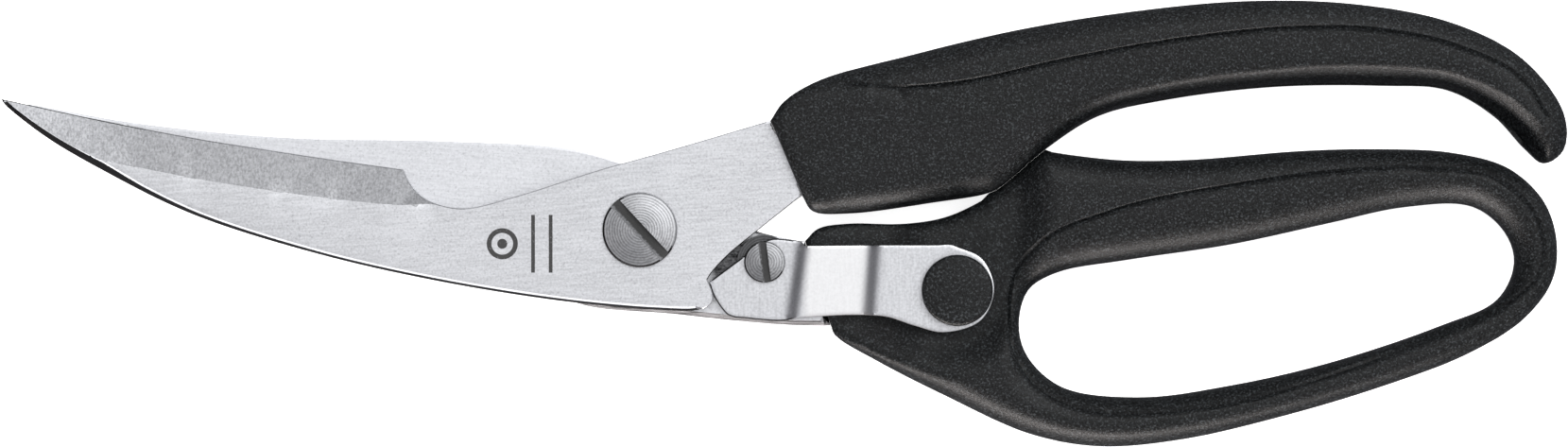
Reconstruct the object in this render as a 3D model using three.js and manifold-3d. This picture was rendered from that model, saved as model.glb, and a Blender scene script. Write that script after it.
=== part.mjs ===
// Poultry shears, lying flat: two blades on a slotted pivot screw, a long hook handle, a closed loop
// handle, and a catch lever that turns about its own small screw.
// Millimetres. The origin is on the pivot axis, on the plane that the shears rest on.
// +X points to the handles, +Y from the loop handle to the hook handle, +Z up.
import * as THREE from 'three';
import { mergeVertices } from 'three/addons/utils/BufferGeometryUtils.js';
import Module from 'manifold-3d';

const wasm = await Module();
wasm.setup();

// ---- Driving dimensions ----
const GAP = 0.3; // clearance between neighbouring pieces
const HANDLE_THICKNESS = 13;
const HANDLE_EDGE = 1.6; // chamfer round the handles
const BLADE_THICKNESS = 3.45;
const EDGE_THICKNESS = 0.4; // steel left at a cutting edge
const MATING_Z = 6.5; // the plane between the blades
const REAR_TOP = MATING_Z - GAP / 2;
const REAR_BOTTOM = REAR_TOP - BLADE_THICKNESS;
const FRONT_BOTTOM = MATING_Z + GAP / 2;
const FRONT_TOP = FRONT_BOTTOM + BLADE_THICKNESS;

const PIVOT = { head: 5.95, headHeight: 1.4, shank: 2.6, bush: 4.0, nut: 6.5, slot: 1.4, slotAngle: -47 };
const LOCK = { x: 19.86, y: -5.13, head: 3.25, headHeight: 1.15, shank: 1.5, bush: 2.5, slot: 1.15 };
const WASHER = { radius: 4.4, thickness: 0.4 };
const LEVER_THICKNESS = 1.4;
const LEVER_RISE = 1.5; // at each of its two bends
const LEVER_BOTTOM = REAR_TOP + GAP + WASHER.thickness + GAP;
// X of the middle of each bend at the lock screw's Y, and how far the bend leans in X for each Y.
const LEVER_BENDS = [{ x: 25.5, lean: 0.15 }, { x: 37.1, lean: 0.08 }];
const BEND_LENGTH = 1.6;
const BUTTON = { x: 50.5, y: -9.6, radius: 5.66, height: 2.25, stem: 2.0 };
const SPRING = { radius: 6.0, wire: 0.8, turns: 1.5, pitch: 1.0, leg: 8.5 };
const POCKET = { radius: 7.4, depth: 1.5, slotWidth: 1.6, slotLength: 10 };
// The catch nose reaches over this sector under the front blade's heel.
const RELIEF = { innerRadius: 13.4, outerRadius: 18, from: -78, to: -36 };

// ---- Geometry helpers ----
function curve(points, closed = false, perSpan = 5) {
  const path = points.map(([x, y]) => new THREE.Vector3(x, y, 0));
  if (path.length === 2) return path;
  const spans = closed ? path.length : path.length - 1;
  const sampled = new THREE.CatmullRomCurve3(path, closed, 'centripetal').getPoints(spans * perSpan);
  return closed ? sampled.slice(0, -1) : sampled;
}

// Joins runs of points into one outline. A run is smooth inside, and runs meet at a corner.
function outline(...runs) {
  const points = [];
  for (const point of runs.flatMap((run) => curve(run))) {
    const last = points.at(-1);
    if (!last || last.distanceTo(point) > 0.02) points.push(point);
  }
  if (points[0].distanceTo(points.at(-1)) < 0.02) points.pop();
  return new THREE.Shape(points.map((point) => new THREE.Vector2(point.x, point.y)));
}

function solid(geometry) {
  const bare = geometry.clone();
  bare.deleteAttribute('normal');
  bare.deleteAttribute('uv');
  const merged = mergeVertices(bare, 1e-4);
  return new wasm.Manifold(new wasm.Mesh({
    numProp: 3,
    vertProperties: new Float32Array(merged.attributes.position.array),
    triVerts: new Uint32Array(merged.index.array),
  }));
}

// An outline made solid between two heights, chamfered inwards by edge or grown outwards by grow.
function slab(shape, bottom, top, { edge = 0, grow = 0 } = {}) {
  const rim = edge || grow;
  const geometry = new THREE.ExtrudeGeometry(shape, {
    depth: top - bottom - 2 * rim,
    curveSegments: 24,
    bevelEnabled: rim > 0,
    bevelThickness: rim,
    bevelSize: rim,
    bevelOffset: -edge,
    bevelSegments: 1,
  });
  geometry.translate(0, 0, bottom + rim);
  return solid(geometry);
}

function disc(radius, bottom, top, x = 0, y = 0, sides = 32) {
  const geometry = new THREE.CylinderGeometry(radius, radius, top - bottom, sides);
  geometry.rotateX(Math.PI / 2);
  geometry.translate(x, y, (bottom + top) / 2);
  return solid(geometry);
}

function block(x0, x1, y0, y1, z0, z1) {
  const geometry = new THREE.BoxGeometry(x1 - x0, y1 - y0, z1 - z0);
  geometry.translate((x0 + x1) / 2, (y0 + y1) / 2, (z0 + z1) / 2);
  return solid(geometry);
}

// A closed skin over rings that each hold the same number of points.
function loft(rings) {
  const size = rings[0].length;
  const positions = rings.flat(2);
  const triangles = [];
  for (let ring = 0; ring + 1 < rings.length; ring++) {
    for (let corner = 0; corner < size; corner++) {
      const a = ring * size + corner;
      const b = ring * size + ((corner + 1) % size);
      triangles.push(a, b, b + size, a, b + size, a + size);
    }
  }
  const end = (rings.length - 1) * size;
  for (let corner = 1; corner + 1 < size; corner++) {
    triangles.push(0, corner + 1, corner, end, end + corner, end + corner + 1);
  }
  const geometry = new THREE.BufferGeometry();
  geometry.setAttribute('position', new THREE.Float32BufferAttribute(positions, 3));
  geometry.setIndex(triangles);
  return solid(geometry);
}

// What grinding takes off a blade between its cutting edge and the line where the bevel starts.
// Each station is [x, edge y, bevel line y]; face is the ground face, back the face that mates.
function bevelCut(stations, face, back) {
  const up = Math.sign(face - back);
  const edgeZ = back + up * EDGE_THICKNESS;
  const overlap = 2;
  const rings = stations.map(([x, edgeY, lineY]) => {
    const out = Math.sign(edgeY - lineY) * overlap;
    const slope = (edgeZ - face) / (edgeY - lineY);
    return [
      [x, lineY, face],
      [x, edgeY + out, edgeZ + slope * out],
      [x, edgeY + out, face + up * overlap],
      [x, lineY, face + up * overlap],
    ];
  });
  // The ring's winding turns over with the ground face and with the side that the edge is on.
  const flip = up * Math.sign(stations[0][1] - stations[0][2]) < 0;
  return loft(flip ? rings.map((ring) => ring.toReversed()) : rings);
}

function mesh(name, body, color, roughness, metalness) {
  const { vertProperties, triVerts } = body.getMesh();
  const geometry = new THREE.BufferGeometry();
  geometry.setAttribute('position', new THREE.Float32BufferAttribute(vertProperties, 3));
  geometry.setIndex(new THREE.Uint32BufferAttribute(triVerts, 1));
  const part = new THREE.Mesh(geometry, new THREE.MeshStandardMaterial({ color, roughness, metalness }));
  part.name = name;
  return part;
}

const steel = (name, body) => mesh(name, body, 0xb9bcc0, 0.35, 1);
const plastic = (name, body) => mesh(name, body, 0x26282b, 0.6, 0);

// ---- Blades ----
// Both tangs run inside the handles as tapered bars.
const FRONT_TANG = outline([[20.3, 15.1], [58, 24.5]], [[60, 19.5], [24.4, 7.1]]);
const REAR_TANG = outline([[26.2, -4], [54, -5]], [[54, -11], [29, -13]]);

// The pocket in a blade's mating face that holds half of the spring and one of its legs.
function springPocket(bottom, top, legY) {
  const half = POCKET.slotWidth / 2;
  const leg = block(-POCKET.slotLength, 0, legY - half, legY + half, bottom, top);
  return disc(POCKET.radius, bottom, top).add(leg);
}

function catchRelief() {
  const shape = new THREE.Shape();
  const from = THREE.MathUtils.degToRad(RELIEF.from);
  const to = THREE.MathUtils.degToRad(RELIEF.to);
  shape.absarc(0, 0, RELIEF.outerRadius, from, to, false);
  shape.absarc(0, 0, RELIEF.innerRadius, to, from, true);
  return slab(shape, FRONT_BOTTOM - 1, LEVER_BOTTOM + LEVER_THICKNESS + GAP);
}

function frontBlade() {
  const body = outline(
    [[-101.9, 20.9], [-86.2, 17.5], [-71.6, 14.7], [-57.9, 12.5], [-48.6, 11.1], [-37.8, 9.6]],
    [[-37.8, 9.6], [-36.6, 7.2], [-34.5, 5.1], [-32, 4], [-27.9, 3.4], [-19.5, 5.4], [-6.9, 9.4], [5.1, 12.8],
      [20.4, 17.3]],
    [[25.5, 5.3], [18.6, -0.2], [14.1, -3.9], [11.4, -6.8], [10.7, -7.9]],
    [[10.7, -7.9], [11.5, -10], [11.4, -11.6], [9.4, -12.7], [3.3, -12.75], [-11.9, -11.4], [-32, -8.2],
      [-51.8, -3.7], [-71.6, 2.6], [-86.2, 9.8], [-95, 15], [-101.4, 20.1], [-101.9, 20.9]],
  );
  const bevel = bevelCut([
    [-104, 21.4, 14.6], [-86.2, 17.5, 11.2], [-71.6, 14.7, 8.3], [-57.9, 12.5, 6.1],
    [-48.6, 11.1, 4.9], [-39.3, 9.8, 4.0], [-28, 8.4, 3.9],
  ], FRONT_TOP, FRONT_BOTTOM);
  return slab(body, FRONT_BOTTOM, FRONT_TOP)
    .add(slab(FRONT_TANG, FRONT_BOTTOM, FRONT_TOP))
    .subtract(bevel)
    .subtract(catchRelief())
    .subtract(disc(PIVOT.bush + GAP, FRONT_BOTTOM - 1, FRONT_TOP + 1))
    .subtract(springPocket(FRONT_BOTTOM - 1, FRONT_BOTTOM + POCKET.depth, -SPRING.radius));
}

function rearBlade() {
  const body = outline(
    [[-97.8, 20.1], [-79.3, 16.9], [-55.9, 14.7], [-32, 14.2], [-10.7, 12.9], [-2.7, 10.8], [6, 7],
      [13, 2.2], [18.6, -0.2], [26, -1.9]],
    [[30.1, -15.3], [22.5, -15.1], [5.1, -13.4], [-10, -11.7], [-17, -7.5], [-24, -2.8], [-32, -0.6],
      [-44, 1], [-57.9, 3.6], [-71.6, 7.2], [-86.2, 13.3], [-97.8, 20.1]],
  );
  const bevel = bevelCut([
    [-104, 23.5, 28], [-86.2, 13.3, 18.8], [-71.6, 7.2, 13], [-57.9, 3.6, 9.6], [-44, 1, 7],
    [-32, -0.6, 5.4], [-22, -1.6, 4.6],
  ], REAR_BOTTOM, REAR_TOP);
  return slab(body, REAR_BOTTOM, REAR_TOP)
    .add(slab(REAR_TANG, REAR_BOTTOM, REAR_TOP))
    .subtract(bevel)
    .subtract(disc(PIVOT.bush + GAP, REAR_BOTTOM - 1, REAR_TOP + 1))
    .subtract(disc(LOCK.shank + GAP, REAR_BOTTOM - 1, REAR_TOP + 1, LOCK.x, LOCK.y, 20))
    .subtract(springPocket(REAR_TOP - POCKET.depth, REAR_TOP + 1, SPRING.radius));
}

// ---- Handles ----
function upperHandle() {
  const body = outline(
    [[20.8, 17.4], [22.9, 20.4], [28.7, 23.9], [42, 27.6], [59.7, 31.8], [77.4, 34.7], [96.5, 36.5],
      [114.2, 36], [129.6, 33], [140.7, 27.3], [147.3, 18.6], [147.3, 12.8], [144.2, 10.6], [141.1, 13],
      [136.3, 18.1], [128.8, 22.3], [118.6, 23], [100.9, 22.8], [83.7, 20.7], [73, 18.1], [64.6, 12.8],
      [58.8, 7.9], [56.2, 6.1], [46.4, 4.3], [33.1, 2.6], [27.5, 3], [25.9, 5.4]],
  );
  return slab(body, 0, HANDLE_THICKNESS, { edge: HANDLE_EDGE })
    .subtract(slab(FRONT_TANG, FRONT_BOTTOM - GAP, FRONT_TOP + GAP, { grow: GAP }));
}

// The low ground that the catch lever swings over, in two steps below its two raised parts.
function leverGround() {
  const underMiddle = LEVER_BOTTOM + LEVER_RISE - 0.35;
  const underButton = underMiddle + LEVER_RISE;
  const stepX = 39.5;
  const swept = outline(
    [[20, -15.2], [36, -14.6], [43.5, -16.2], [48.4, -17.4], [53.5, -16.3], [56.7, -12.8], [57.6, -9.4]],
    [[57.6, 9], [20, 9]],
  );
  return slab(swept, underButton, HANDLE_THICKNESS + 1)
    .add(slab(swept, underMiddle, HANDLE_THICKNESS + 1).intersect(block(0, stepX, -20, 20, 0, 20)));
}

function lowerHandle() {
  const body = outline(
    [[26.3, -1.8], [28.4, 0.2], [33, 1], [42.3, 1], [49.2, 2.2], [56.4, 5.8], [58.9, 7.65], [64.8, 12.55]],
    [[64.8, 12.55], [70, 11.8], [77.4, 11.1], [87.7, 11.2], [105.3, 12.6], [117, 12.9], [129.6, 12.3],
      [138.5, 9.8], [144.2, 4.4], [146.2, -2.2], [145.4, -8.2], [140.8, -14.3], [131.9, -19.8],
      [117.9, -25.1], [102.1, -29.8], [86.4, -33.4], [73.2, -34.5], [62.1, -32.5], [48.8, -26.5],
      [37.8, -20.9], [31.1, -16.8], [30.4, -15.2]],
  );
  const loop = curve([[66.5, -6.8], [77.6, -4.8], [94.3, -2.3], [110, 1.1], [121.8, 3.6], [132.8, 3.7],
    [138, -0.4], [139.5, -5.3], [136.8, -11.1], [127.7, -15.3], [110, -21.2], [94.3, -24.8], [79.8, -26.7],
    [67.4, -25.1], [61.8, -20.2], [60.4, -15.2], [61.9, -9.6]], true);
  const hole = new THREE.Shape(loop.map((point) => new THREE.Vector2(point.x, point.y)));
  return slab(body, 0, HANDLE_THICKNESS, { edge: HANDLE_EDGE })
    .subtract(slab(hole, -1, HANDLE_THICKNESS + 1))
    .subtract(slab(REAR_TANG, REAR_BOTTOM - GAP, REAR_TOP + GAP, { grow: GAP }))
    .subtract(leverGround());
}

// ---- Pivot ----
// A straight driver slot across a screw head, turned by an angle in degrees.
function driverSlot(width, top, depth, angle, x, y) {
  const geometry = new THREE.BoxGeometry(20, width, depth * 2);
  geometry.rotateZ(THREE.MathUtils.degToRad(angle));
  geometry.translate(x, y, top);
  return solid(geometry);
}

function pivotScrew() {
  const bottom = 1.2;
  const headBottom = FRONT_TOP + GAP;
  const top = headBottom + PIVOT.headHeight;
  return disc(PIVOT.shank, bottom, headBottom + 0.5)
    .add(disc(PIVOT.head, headBottom, top, 0, 0, 48))
    .subtract(driverSlot(PIVOT.slot, top, 0.8, PIVOT.slotAngle, 0, 0));
}

function pivotNut() {
  const floor = 0.9;
  const top = REAR_BOTTOM - GAP;
  return disc(PIVOT.nut, 0, top, 0, 0, 40).subtract(disc(PIVOT.shank + GAP, floor, top + 1));
}

function pivotBush() {
  return disc(PIVOT.bush, REAR_BOTTOM, FRONT_TOP)
    .subtract(disc(PIVOT.shank + GAP, REAR_BOTTOM - 1, FRONT_TOP + 1));
}

// A torsion spring: a leg in the rear blade, turns round the bush, and a leg in the front blade.
function openingSpring() {
  const rise = SPRING.turns * SPRING.pitch;
  const bottom = MATING_Z - rise / 2;
  const stepsPerTurn = 14;
  const steps = SPRING.turns * stepsPerTurn;
  const path = [new THREE.Vector3(-SPRING.leg, SPRING.radius, bottom)];
  for (let step = 0; step <= steps; step++) {
    const angle = Math.PI / 2 - (step / stepsPerTurn) * 2 * Math.PI;
    const z = bottom + (step / steps) * rise;
    path.push(new THREE.Vector3(SPRING.radius * Math.cos(angle), SPRING.radius * Math.sin(angle), z));
  }
  path.push(new THREE.Vector3(-SPRING.leg, -SPRING.radius, bottom + rise));
  const section = new THREE.Shape().absarc(0, 0, SPRING.wire / 2, 0, 2 * Math.PI);
  return solid(new THREE.ExtrudeGeometry(section, {
    extrudePath: new THREE.CatmullRomCurve3(path, false, 'centripetal'),
    steps: 64,
    curveSegments: 6,
  }));
}

// ---- Catch ----
// The plate's side view: nose, middle and button end, joined by two sloping bends.
function leverSideView() {
  const far = 70;
  const profile = [[0, 0]];
  LEVER_BENDS.forEach(({ x }, bend) => {
    profile.push([x - BEND_LENGTH / 2, bend * LEVER_RISE], [x + BEND_LENGTH / 2, (bend + 1) * LEVER_RISE]);
  });
  profile.push([far, LEVER_BENDS.length * LEVER_RISE]);
  const upper = profile.map(([x, z]) => [x, z + LEVER_THICKNESS]).reverse();
  const shape = new THREE.Shape([...profile, ...upper].map(([x, z]) => new THREE.Vector2(x, z)));
  const geometry = new THREE.ExtrudeGeometry(shape, { depth: 40, bevelEnabled: false });
  geometry.rotateX(Math.PI / 2);
  geometry.translate(0, 20, LEVER_BOTTOM);
  const middle = (LEVER_BENDS[0].x + LEVER_BENDS[1].x) / 2;
  const { position } = geometry.attributes;
  for (let vertex = 0; vertex < position.count; vertex++) {
    const x = position.getX(vertex);
    const bend = LEVER_BENDS[x < middle ? 0 : 1];
    position.setX(vertex, x + bend.lean * (position.getY(vertex) - LOCK.y));
  }
  return solid(geometry);
}

function lockLever() {
  const plan = outline(
    [[11, -8.3], [16.8, -4], [19.2, -2.2], [21.2, -1.4], [25.7, -1.8]],
    [[26.3, -2.5], [37, -2.4], [49.8, -2.4]],
    [[49.8, -2.4], [54.5, -4.6], [56.4, -9.4], [54.3, -14.4], [48.5, -16.3], [43.6, -15.2], [38.6, -13.7],
      [25.5, -14], [22.5, -14.5], [14.9, -13.9]],
    [[14.9, -13.9], [13.8, -13.4], [11.7, -10.4], [11, -8.3]],
  );
  return slab(plan, 0, 20)
    .intersect(leverSideView())
    .subtract(disc(LOCK.bush + GAP, 0, 20, LOCK.x, LOCK.y, 24))
    .subtract(disc(BUTTON.stem + GAP, 0, 20, BUTTON.x, BUTTON.y, 24));
}

function lockButton() {
  const leverTop = LEVER_BOTTOM + 2 * LEVER_RISE + LEVER_THICKNESS;
  const bottom = leverTop + GAP;
  return disc(BUTTON.radius, bottom, bottom + BUTTON.height, BUTTON.x, BUTTON.y, 40)
    .add(disc(BUTTON.stem, leverTop - LEVER_THICKNESS, bottom + 0.5, BUTTON.x, BUTTON.y, 24));
}

function lockScrew() {
  const bottom = REAR_BOTTOM;
  const headBottom = LEVER_BOTTOM + LEVER_THICKNESS + GAP;
  const top = headBottom + LOCK.headHeight;
  return disc(LOCK.shank, bottom, headBottom + 0.5, LOCK.x, LOCK.y, 20)
    .add(disc(LOCK.head, headBottom, top, LOCK.x, LOCK.y))
    .subtract(driverSlot(LOCK.slot, top, 0.6, 97, LOCK.x, LOCK.y));
}

function lockBush() {
  const bottom = REAR_TOP + GAP;
  const top = LEVER_BOTTOM + LEVER_THICKNESS;
  return disc(LOCK.bush, bottom, top, LOCK.x, LOCK.y, 24)
    .subtract(disc(LOCK.shank + GAP, bottom - 1, top + 1, LOCK.x, LOCK.y, 20));
}

function lockWasher() {
  const bottom = REAR_TOP + GAP;
  return disc(WASHER.radius, bottom, bottom + WASHER.thickness, LOCK.x, LOCK.y, 24)
    .subtract(disc(LOCK.bush + GAP, bottom - 1, bottom + 1, LOCK.x, LOCK.y, 24));
}

// ---- Assembly ----
const shears = new THREE.Group();
shears.add(
  steel('front_blade', frontBlade()),
  steel('rear_blade', rearBlade()),
  plastic('upper_handle', upperHandle()),
  plastic('lower_handle', lowerHandle()),
  steel('pivot_screw', pivotScrew()),
  steel('pivot_nut', pivotNut()),
  steel('pivot_bush', pivotBush()),
  steel('opening_spring', openingSpring()),
  steel('lock_lever', lockLever()),
  plastic('lock_button', lockButton()),
  steel('lock_screw', lockScrew()),
  steel('lock_bush', lockBush()),
  steel('lock_washer', lockWasher()),
);

export default shears;
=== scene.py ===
import math

import bpy
import numpy as np
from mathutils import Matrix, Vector
from mathutils.bvhtree import BVHTree
from mathutils.geometry import delaunay_2d_cdt


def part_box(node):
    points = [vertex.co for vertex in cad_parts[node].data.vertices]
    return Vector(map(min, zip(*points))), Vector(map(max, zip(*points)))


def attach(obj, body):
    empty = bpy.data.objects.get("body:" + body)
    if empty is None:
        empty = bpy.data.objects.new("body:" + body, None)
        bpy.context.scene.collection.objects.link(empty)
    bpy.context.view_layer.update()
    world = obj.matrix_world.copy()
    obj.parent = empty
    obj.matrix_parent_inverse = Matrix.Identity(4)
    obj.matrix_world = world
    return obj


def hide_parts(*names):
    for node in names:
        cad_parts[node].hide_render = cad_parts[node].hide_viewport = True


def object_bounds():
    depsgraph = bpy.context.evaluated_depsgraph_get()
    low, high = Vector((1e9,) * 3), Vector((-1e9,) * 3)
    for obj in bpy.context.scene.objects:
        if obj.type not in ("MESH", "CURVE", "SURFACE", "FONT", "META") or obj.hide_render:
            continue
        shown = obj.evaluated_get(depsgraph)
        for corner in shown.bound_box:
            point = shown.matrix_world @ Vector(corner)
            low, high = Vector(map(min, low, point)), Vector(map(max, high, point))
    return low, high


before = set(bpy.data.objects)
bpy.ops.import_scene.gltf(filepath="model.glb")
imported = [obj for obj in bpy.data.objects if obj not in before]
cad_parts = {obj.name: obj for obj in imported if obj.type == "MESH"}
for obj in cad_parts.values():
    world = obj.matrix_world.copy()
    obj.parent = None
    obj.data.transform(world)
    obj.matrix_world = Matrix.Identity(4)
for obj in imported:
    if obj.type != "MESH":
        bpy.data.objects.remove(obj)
cad_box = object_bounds()

# Plan sizes and heights are in millimetres, and MM turns them into metres.
MM = 0.001

# ---- Driving dimensions ----
HANDLE_WALL = 1.2  # upright wall left on each side of the middle of a handle's edge
HANDLE_ROUND = 4.6  # width of a handle's rounded edge
LOOP_ROUND = 6.2  # width of the rounding that leads into the finger loop
LOOP_START = (57, 61)  # from x to x, where that rounding begins
CREASE_SLOPE = 0.62  # fall of the hook's inner slope below its crease
CREASE_START = (68, 84)  # from x to x, where that slope begins
FRONT_ROUND = 1.3  # rounding where the front blade enters the hook handle
BACK_ROUND = 1.0  # width and fall of the rounding where the rear blade enters the loop handle
BACK_FALL = 0.8
UPPER_GRIP = (23, 34)  # from x to x, where each handle's rounding grows to its full size
LOWER_GRIP = (27, 36)
GROOVE_WIDTH = 0.5
GROOVE_DEPTH = 0.42
GROOVE_LINES = [-1, -GROOVE_WIDTH, 0, GROOVE_WIDTH, 1]
OUTLINE_HEIGHT = 2  # height above a handle's underside at which its outline is read
GAP_REACH = 0.9  # a blade's outline this close outside a handle's is closed up to it
HAIRLINE = 0.04  # gap that is left there

# The low ground under the catch lever.
GROUND_SPOTS = [(30, -8), (48, -5)]  # a place on each of its two steps
GROUND_STEP = (39.5, 46)  # from x to x, where it steps up
GROUND_SLOPE = (0.1, 6.5)  # distances from it between which the handle rises to its full height

# How far the front blade's sloping side shows beyond its face: [x, width], from the point to the heel.
SPINE_WIDTHS = [[-102, 0.6], [-95, 0.9], [-86, 1.15], [-80, 0.8], [-70, 0.58], [-50, 0.44], [9, 0.4]]
SPINE_FALL = 0.02
SPINE_EDGE = 0.6  # height of the upright edge left under the sloping side
SPINE_END = 9  # x
LEAST_CHAMFER = 0.05  # width at the point of the chamfer beside the sloping side, which is painted as a bright highlight
SPINE_CHAMFER = 0.24  # how much wider it grows
CHAMFER_START = (-91, -82)  # from x to x, where it grows
HEEL_START = 10  # x, right of which the edge of the front blade's heel is painted dark as shade
HEEL_LOW = -9  # y, down to which it is painted dark as shade, and below which the rear blade shows under the heel
TIP_END = -79  # x, left of which the point's broken edge is painted dark as shade
HEEL_SIDE = 0.8  # width and fall of the rear blade's rounded-off back, where it shows under the heel and is painted dark as shade
HEEL_FALL = 0.9
UNDER_HEEL = (-26, 30.5)  # from x to x, where that is
EDGE_BREAK = 0.12  # tiny chamfer on every other edge of the front blade
REAR_BREAK = 0.4  # width and slope of the chamfer on every other edge of the rear blade
REAR_SLOPE = 0.5
FRONT_BEVEL_END = -28  # x
REAR_BEVEL_END = -22
TANG_CLEARANCE = 0.1  # room in a handle beside and above a tang
TANG_HEADROOM = 0.15

LEVER_EDGE = 0.22
LEVER_NOSE = 24.5  # x, left of which the lever's rim is painted dark as shade
LEVER_MIDDLE = [(25.4, 27), (36.8, 35.8)]  # from x to x, where the painted highlight on the middle step fades in and out
BUTTON_HEIGHT = 2.25
BUTTON_STEM = 2.0
PIVOT_SCREW = {"head_radius": 5.95, "head_height": 1.4, "shank_radius": 2.6, "dome": 0.8,
               "slot_width": 1.8, "slot_depth": 1.0, "slot_angle": -47, "level": 0.235}
LOCK_SCREW = {"head_radius": 3.25, "head_height": 1.15, "shank_radius": 1.5, "dome": 0.4,
              "slot_width": 1.3, "slot_depth": 0.8, "slot_angle": 97, "level": 0.19}
SHADE_RIM_WIDTH = 0.32  # width of the outer ring of a screw head that is painted dark as shade on its shaded side
SHADED_RECESS = [15.4, -5.2, 4.6]  # x, y and radius of the corner between the heel and the catch where shade is painted on the rear blade
SHADED_RECESS_FLOOR = 5.0  # height above which the painted shade lies, so that it stays off the rear blade's back
MARK_AT = (-21.9, -2.2)  # middle of the etched ring
RULES_AT = (-17, -14.2)  # x of each straight rule beside it

SCOOP = [[37.5, 22.5], [41.5, 22.0]]  # the deepest line of the scoop where the hook's groove begins
SCOOP_WIDTH = 1.3
SCOOP_DEPTH = 0.5

# Moulded lines on the handles: [x, y] from the pivot, along the real object's styling.
HOOK_GROOVE = [[32.6, 23.2], [42, 22.6], [50.8, 23.4], [68.6, 27.2], [87.7, 30.5], [105.3, 32.1],
               [116.4, 31.8], [129.6, 29.2], [140.7, 23.4], [144.2, 18.1]]
HOOK_CREASE = [[70, 19.4], [78.8, 22], [96.5, 24.9], [116.4, 26.1], [129.6, 24.6], [139.8, 20.3],
               [144.2, 15.8], [144.6, 12.5], [143, 8]]
LOOP_GROOVE = [[58.6, -12.5], [59.6, -7], [63.4, -2.3], [75.3, 3], [94, 7], [110, 9.1], [125.8, 9.7],
               [136.4, 8.1], [143.1, 0.6], [143.5, -6.1], [137.6, -12], [125.8, -17.1], [110, -23.1],
               [93.9, -27.6], [82, -29.1], [75.3, -29.3], [68.7, -28], [62.6, -24.4], [59.2, -18.5]]

# ---- Tolerances ----
NEARBY = (0.0, 0.08, 0.2, 0.4, 0.8)  # a point just off a faceted outline takes a height from this near
WALL = 0.1  # a CAD face counts as upright when its normal's z is smaller
STEEP = 0.3  # a blade's face is an edge when its normal's z is smaller, and flat when it is larger than FLAT
FLAT = 0.985
SAME_LEVEL = 0.02  # a face this close to a level counts as lying on it
AXIS = 0.02  # a lathe profile starts and ends this far from its axis
LEAST_THICKNESS = 0.1  # of the front blade's cutting edge


# ---- Reading shapes off the frame ----
def heights(node):
    """The lowest and highest level of a CAD node."""
    return [corner.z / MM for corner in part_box(node)]


def axis(node):
    """The place in plan of a CAD node's middle."""
    low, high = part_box(node)
    return ((low + high) / 2 / MM).to_2d()


def loop_area(loop):
    """The area inside a closed outline, negative when the outline runs clockwise."""
    after = np.roll(loop, -1, axis=0)
    return float((loop[:, 0] * after[:, 1] - after[:, 0] * loop[:, 1]).sum() / 2)


def chain(following):
    """Joins steps from point to point into loops, and puts the largest loop first."""
    loops = []
    while following:
        start = next(iter(following))
        point = following.pop(start)
        loop = [start]
        while point != start and point in following:
            loop.append(point)
            point = following.pop(point)
        if len(loop) > 2:
            loops.append(np.array(loop))
    return sorted(loops, key=lambda loop: -abs(loop_area(loop)))


def rim(node, facing, low=-99.0, high=99.0):
    """Closed outlines, in plan, of a CAD node's faces that look up (1) or down (-1) between two heights.
    The largest comes first, anticlockwise, and the others are holes or islands."""
    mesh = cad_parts[node].data
    place = [tuple(round(c / MM, 3) for c in v.co) for v in mesh.vertices]
    open_edges = set()
    for face in mesh.polygons:
        corners = [place[i] for i in face.vertices]
        levels = [corner[2] for corner in corners]
        if face.normal.z * facing < WALL or min(levels) < low or max(levels) > high:
            continue
        flat = [corner[:2] for corner in corners][::facing]
        for edge in zip(flat, flat[1:] + flat[:1]):
            if edge[::-1] in open_edges:
                open_edges.remove(edge[::-1])
            else:
                open_edges.add(edge)
    return chain(dict(sorted(open_edges)))


def section(node, height):
    """Closed outlines, in plan, where a CAD node is cut at a height; the largest comes first."""
    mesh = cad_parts[node].data
    following = {}
    for face in mesh.polygons:
        corners = [mesh.vertices[i].co / MM for i in face.vertices]
        crossing = []
        for a, b in zip(corners, corners[1:] + corners[:1]):
            a, b = sorted((a, b), key=lambda corner: tuple(corner))
            if (a.z > height) != (b.z > height):
                met = a.lerp(b, (height - a.z) / (b.z - a.z))
                crossing.append((round(met.x, 3), round(met.y, 3)))
        if len(crossing) == 2 and crossing[0] != crossing[1]:
            ahead = Vector(crossing[1]) - Vector(crossing[0])
            forward = ahead.y * face.normal.x - ahead.x * face.normal.y > 0
            start, end = crossing if forward else crossing[::-1]
            following[start] = end
    return [without_straights(loop) for loop in chain(following)]


def turns(loop):
    """The angle, in degrees, by which a closed outline turns at each of its points."""
    leave = np.roll(loop, -1, axis=0) - loop
    arrive = loop - np.roll(loop, 1, axis=0)
    across = arrive[:, 0] * leave[:, 1] - arrive[:, 1] * leave[:, 0]
    return np.degrees(np.arctan2(across, (arrive * leave).sum(1)))


def without_straights(loop, straight=0.25):
    """A closed outline without the points at which it turns by less than straight degrees."""
    return loop[np.abs(turns(loop)) > straight]


def surface(node, facing):
    """A function that gives the height of a CAD node's upper (1) or lower (-1) side at plan points."""
    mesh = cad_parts[node].data
    tree = BVHTree.FromPolygons([v.co for v in mesh.vertices], [tuple(f.vertices) for f in mesh.polygons])
    far = 100 * MM * facing

    def height_at(x, y):
        for reach in NEARBY:
            for angle in np.arange(8) * math.pi / 4:
                start = Vector((x + reach * math.cos(angle), y + reach * math.sin(angle), 0)) * MM
                start.z = far
                hit, normal = tree.ray_cast(start, Vector((0, 0, -facing)))[:2]
                if hit is not None and normal.z * facing > WALL:
                    return hit.z / MM
        return tree.find_nearest(Vector((x * MM, y * MM, 0.2 * far)))[0].z / MM

    def height(points):
        return np.array([height_at(x, y) for x, y in points])

    return height


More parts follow.
